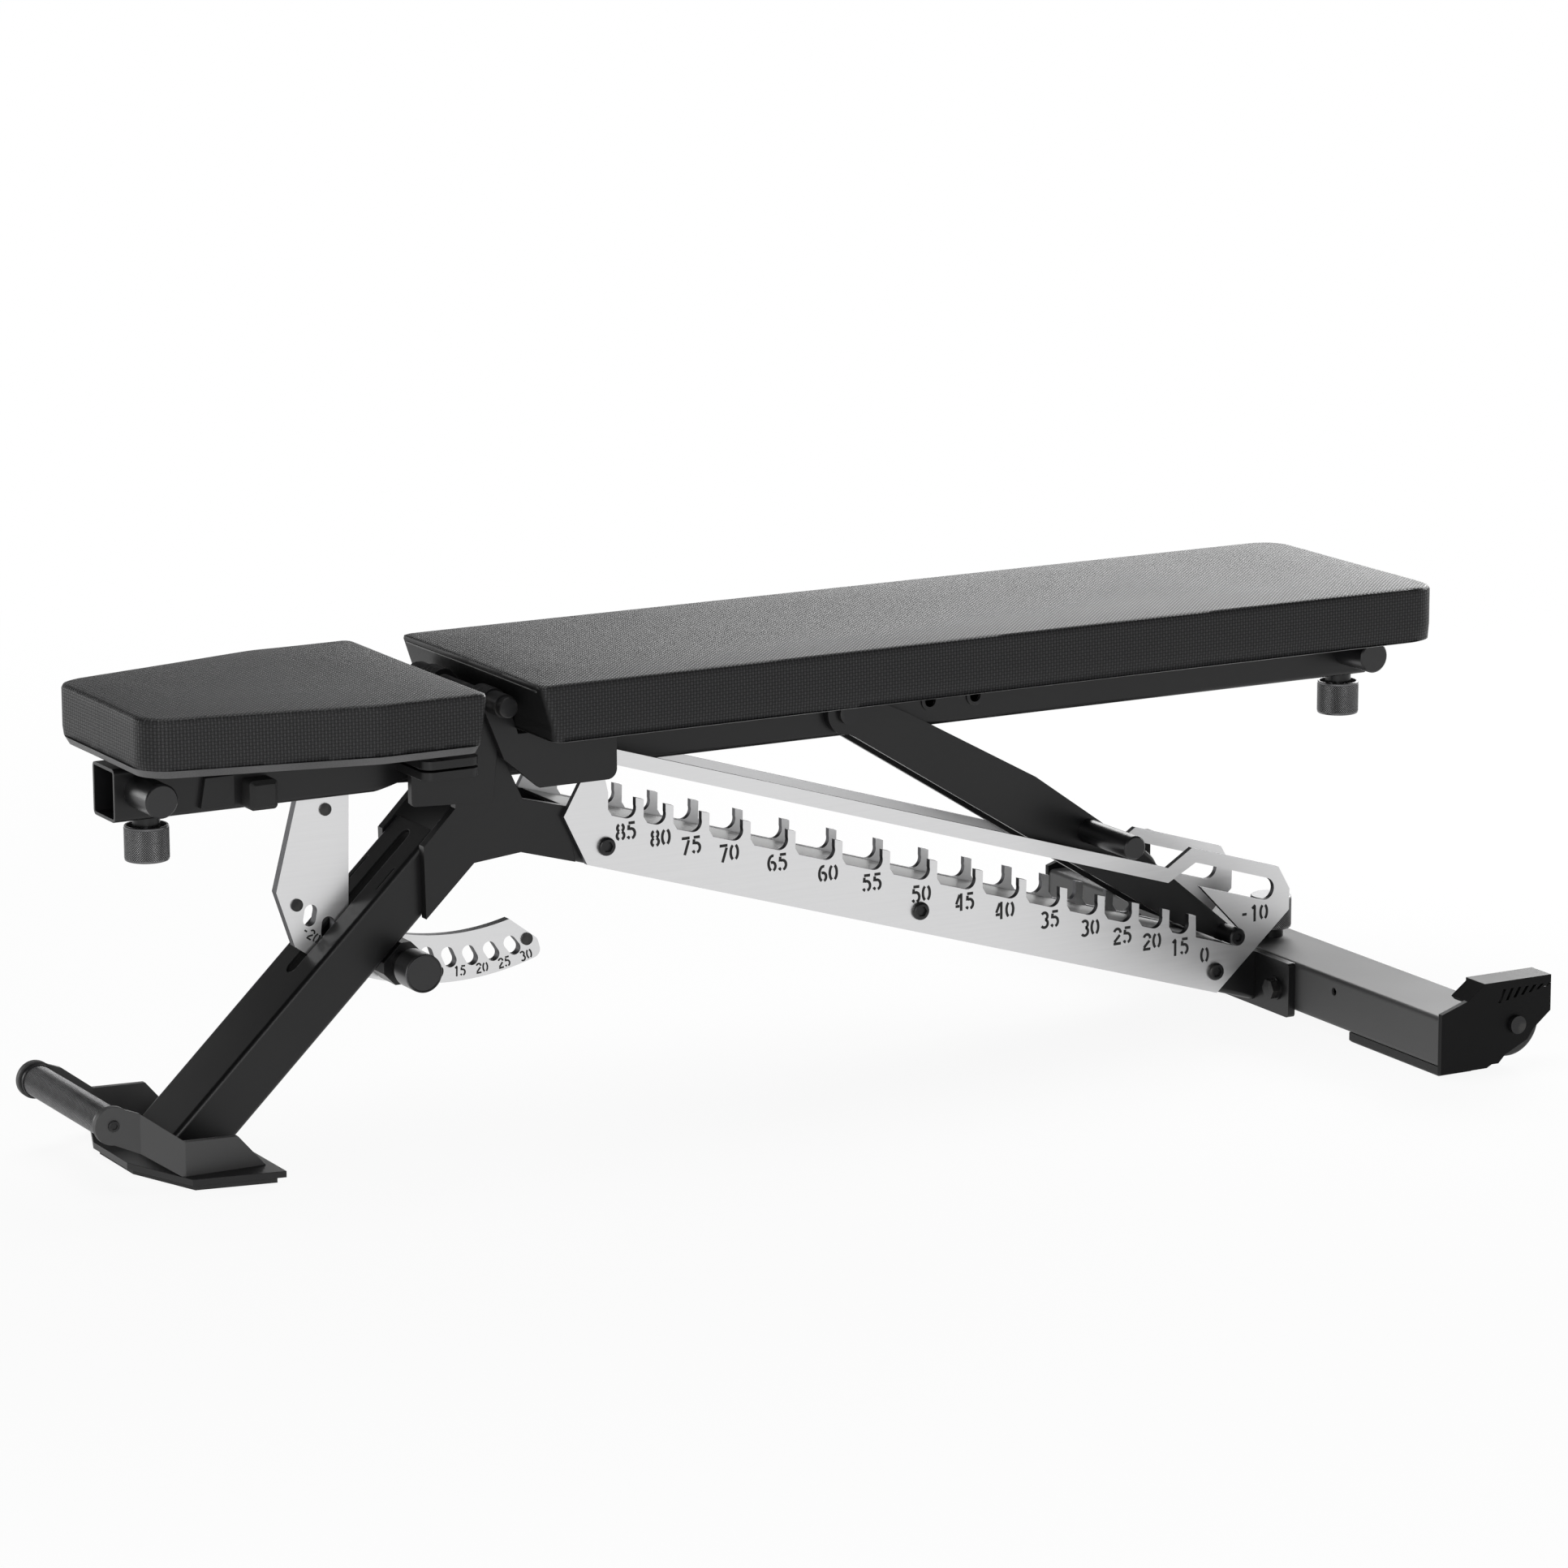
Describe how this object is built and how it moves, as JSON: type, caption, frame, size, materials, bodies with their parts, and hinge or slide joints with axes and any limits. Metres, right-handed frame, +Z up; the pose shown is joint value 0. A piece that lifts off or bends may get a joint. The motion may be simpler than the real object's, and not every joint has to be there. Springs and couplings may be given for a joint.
{
  "type": "adjustable weight bench",
  "caption": "Adjustable weight bench: padded back on a notched ladder and strut, padded seat on a slotted sector, sloping spine, front foot with grip, wheeled rear foot.",
  "frame": {"origin": "on the floor under the middle of the whole bench's box", "axes": "+X to the head end, +Y to the sitter's right, +Z up"},
  "size_m": [1.4355, 0.743, 0.44],
  "materials": {
    "frame_black": "satin",
    "plate_silver": "satin",
    "cushion_vinyl": "fine grain",
    "pad_board": "matt",
    "rubber_black": "matt",
    "wheel_black": "matt",
    "knob_black": "knurled, anodised",
    "fastener_dark": "black oxide",
    "grip_dark": "knurled"
  },
  "bodies": {
    "base": {"front_foot_plate": "frame_black", "front_foot_pad": "rubber_black", "front_foot_side_left": "frame_black", "front_foot_side_right": "frame_black", "front_grip": "grip_dark", "front_grip_bolts": "fastener_dark", "front_leg": "frame_black", "neck_plate_left": "frame_black", "neck_plate_right": "frame_black", "hinge_axle": "fastener_dark", "spine_tube": "frame_black", "ladder_plate_left": "plate_silver", "ladder_plate_right": "plate_silver", "ladder_screws": "fastener_dark", "spine_flange": "frame_black", "flange_bolts": "fastener_dark", "rear_foot_tube": "frame_black", "rear_end_plate_left": "frame_black", "rear_end_plate_right": "frame_black", "rear_foot_pads": "rubber_black", "wheel_axles": "fastener_dark", "rear_pin_housing": "frame_black", "sector_lock_cheeks": "frame_black", "sector_pin_housing": "frame_black"},
    "back": {"back_cushion": "cushion_vinyl", "back_board": "pad_board", "back_tube": "frame_black", "peg_bushes": "fastener_dark", "back_hinge_plate": "frame_black", "back_cross_plates": "frame_black", "back_bracket_left": "frame_black", "back_bracket_right": "frame_black", "back_handles": "grip_dark", "back_pin_housing": "frame_black", "strut_pivot_bolt": "fastener_dark"},
    "strut": {"strut_plate_left": "frame_black", "strut_plate_right": "frame_black", "strut_handle": "grip_dark", "ladder_pin": "fastener_dark"},
    "seat": {"seat_cushion": "cushion_vinyl", "seat_board": "pad_board", "seat_tube": "frame_black", "seat_cross_plates": "frame_black", "seat_handles": "grip_dark", "seat_pin_housing": "frame_black", "seat_wings_left": "frame_black", "seat_wings_right": "frame_black", "seat_bracket_left": "frame_black", "seat_bracket_right": "frame_black", "seat_sector": "plate_silver", "sector_screws": "fastener_dark", "seat_gusset": "frame_black", "seat_bumper": "rubber_black"},
    "wheel_left": {"wheel_left": "wheel_black"},
    "wheel_right": {"wheel_right": "wheel_black"},
    "rear_pin": {"rear_pin": "knob_black"},
    "sector_pin": {"sector_pin": "knob_black"},
    "back_pin": {"back_pin": "knob_black"},
    "seat_pin": {"seat_pin": "knob_black"}
  },
  "joints": [
    {"name": "back_tilt", "type": "hinge", "parent": "base", "child": "back", "pos_m": [-0.2955, 0, 0.411], "axis": [0, -1, 0], "range_deg": [0, 85]},
    {"name": "strut_swing", "type": "hinge", "parent": "back", "child": "strut", "pos_m": [0.1025, 0, 0.353], "axis": [0, -1, 0], "range_deg": [-137.4, 0]},
    {"name": "seat_tilt", "type": "hinge", "parent": "base", "child": "seat", "pos_m": [-0.2955, 0, 0.411], "axis": [0, 1, 0], "range_deg": [-20, 30]},
    {"name": "wheel_left_spin", "type": "hinge", "parent": "base", "child": "wheel_left", "pos_m": [0.6625, -0.345, 0.044], "axis": [0, 1, 0], "continuous": true},
    {"name": "wheel_right_spin", "type": "hinge", "parent": "base", "child": "wheel_right", "pos_m": [0.6625, 0.345, 0.044], "axis": [0, 1, 0], "continuous": true},
    {"name": "rear_pin_pull", "type": "slide", "parent": "base", "child": "rear_pin", "axis": [0, 0, 1], "range_m": [0, 0.012], "stiffness_N_per_m": 900, "springref_m": -0.006},
    {"name": "sector_pin_pull", "type": "slide", "parent": "base", "child": "sector_pin", "axis": [0, -1, 0], "range_m": [0, 0.012], "stiffness_N_per_m": 900, "springref_m": -0.006},
    {"name": "back_pin_pull", "type": "slide", "parent": "back", "child": "back_pin", "axis": [0, 0, -1], "range_m": [0, 0.012], "stiffness_N_per_m": 900, "springref_m": -0.006},
    {"name": "seat_pin_pull", "type": "slide", "parent": "seat", "child": "seat_pin", "axis": [0, 0, -1], "range_m": [0, 0.012], "stiffness_N_per_m": 900, "springref_m": -0.006}
  ],
  "couplings": [
    {"joint": "strut_swing", "follows": "back_tilt", "ratio": -1.6144}
  ]
}
